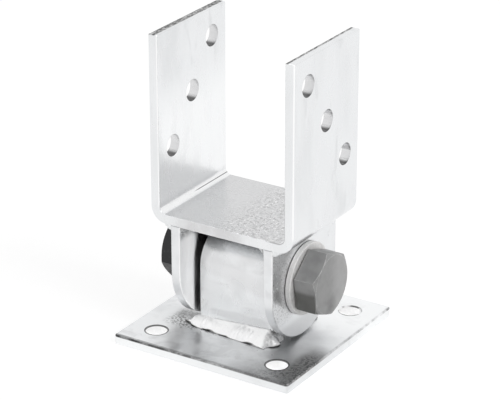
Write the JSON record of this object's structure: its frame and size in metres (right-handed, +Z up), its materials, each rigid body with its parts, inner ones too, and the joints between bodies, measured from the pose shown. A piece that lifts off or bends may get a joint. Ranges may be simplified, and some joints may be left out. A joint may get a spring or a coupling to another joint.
{
  "type": "hinged timber post base",
  "caption": "Tilting U-shaped saddle for a timber post on a drilled square base plate; lugs straddle a welded knuckle and a cross bolt is the hinge.",
  "frame": {"origin": "middle of the base plate's underside", "axes": "+Z up through the saddle; +X along the hinge bolt towards its head; -Y is the front"},
  "size_m": [0.1, 0.1, 0.1575],
  "materials": {
    "zinc_sheet": "bright zinc coat on rolled sheet, smooth with faint cloudy mottling",
    "zinc_block": "bright zinc coat on a solid bar, satin",
    "zinc_weld": "zinc coated weld bead, glossy and rippled",
    "washer_zinc": "zinc plated, satin with turning marks",
    "bolt_steel": "dull grey, satin",
    "nut_dark": "blackened, matt"
  },
  "bodies": {
    "base": {"base_plate": "zinc_sheet", "hinge_knuckle": "zinc_block", "knuckle_weld_front": "zinc_weld", "knuckle_weld_rear": "zinc_weld"},
    "saddle": {"post_saddle": "zinc_sheet", "lug_left": "zinc_sheet", "lug_right": "zinc_sheet", "lug_weld_left_inner": "zinc_weld", "lug_weld_left_outer": "zinc_weld", "lug_weld_right_inner": "zinc_weld", "lug_weld_right_outer": "zinc_weld", "hinge_bolt": "bolt_steel", "hinge_washer": "washer_zinc", "hinge_nut": "nut_dark"}
  },
  "joints": [
    {"name": "saddle_tilt", "type": "hinge", "parent": "base", "child": "saddle", "pos_m": [0, 0, 0.036], "axis": [1, 0, 0], "range_deg": [-80, 80]}
  ]
}
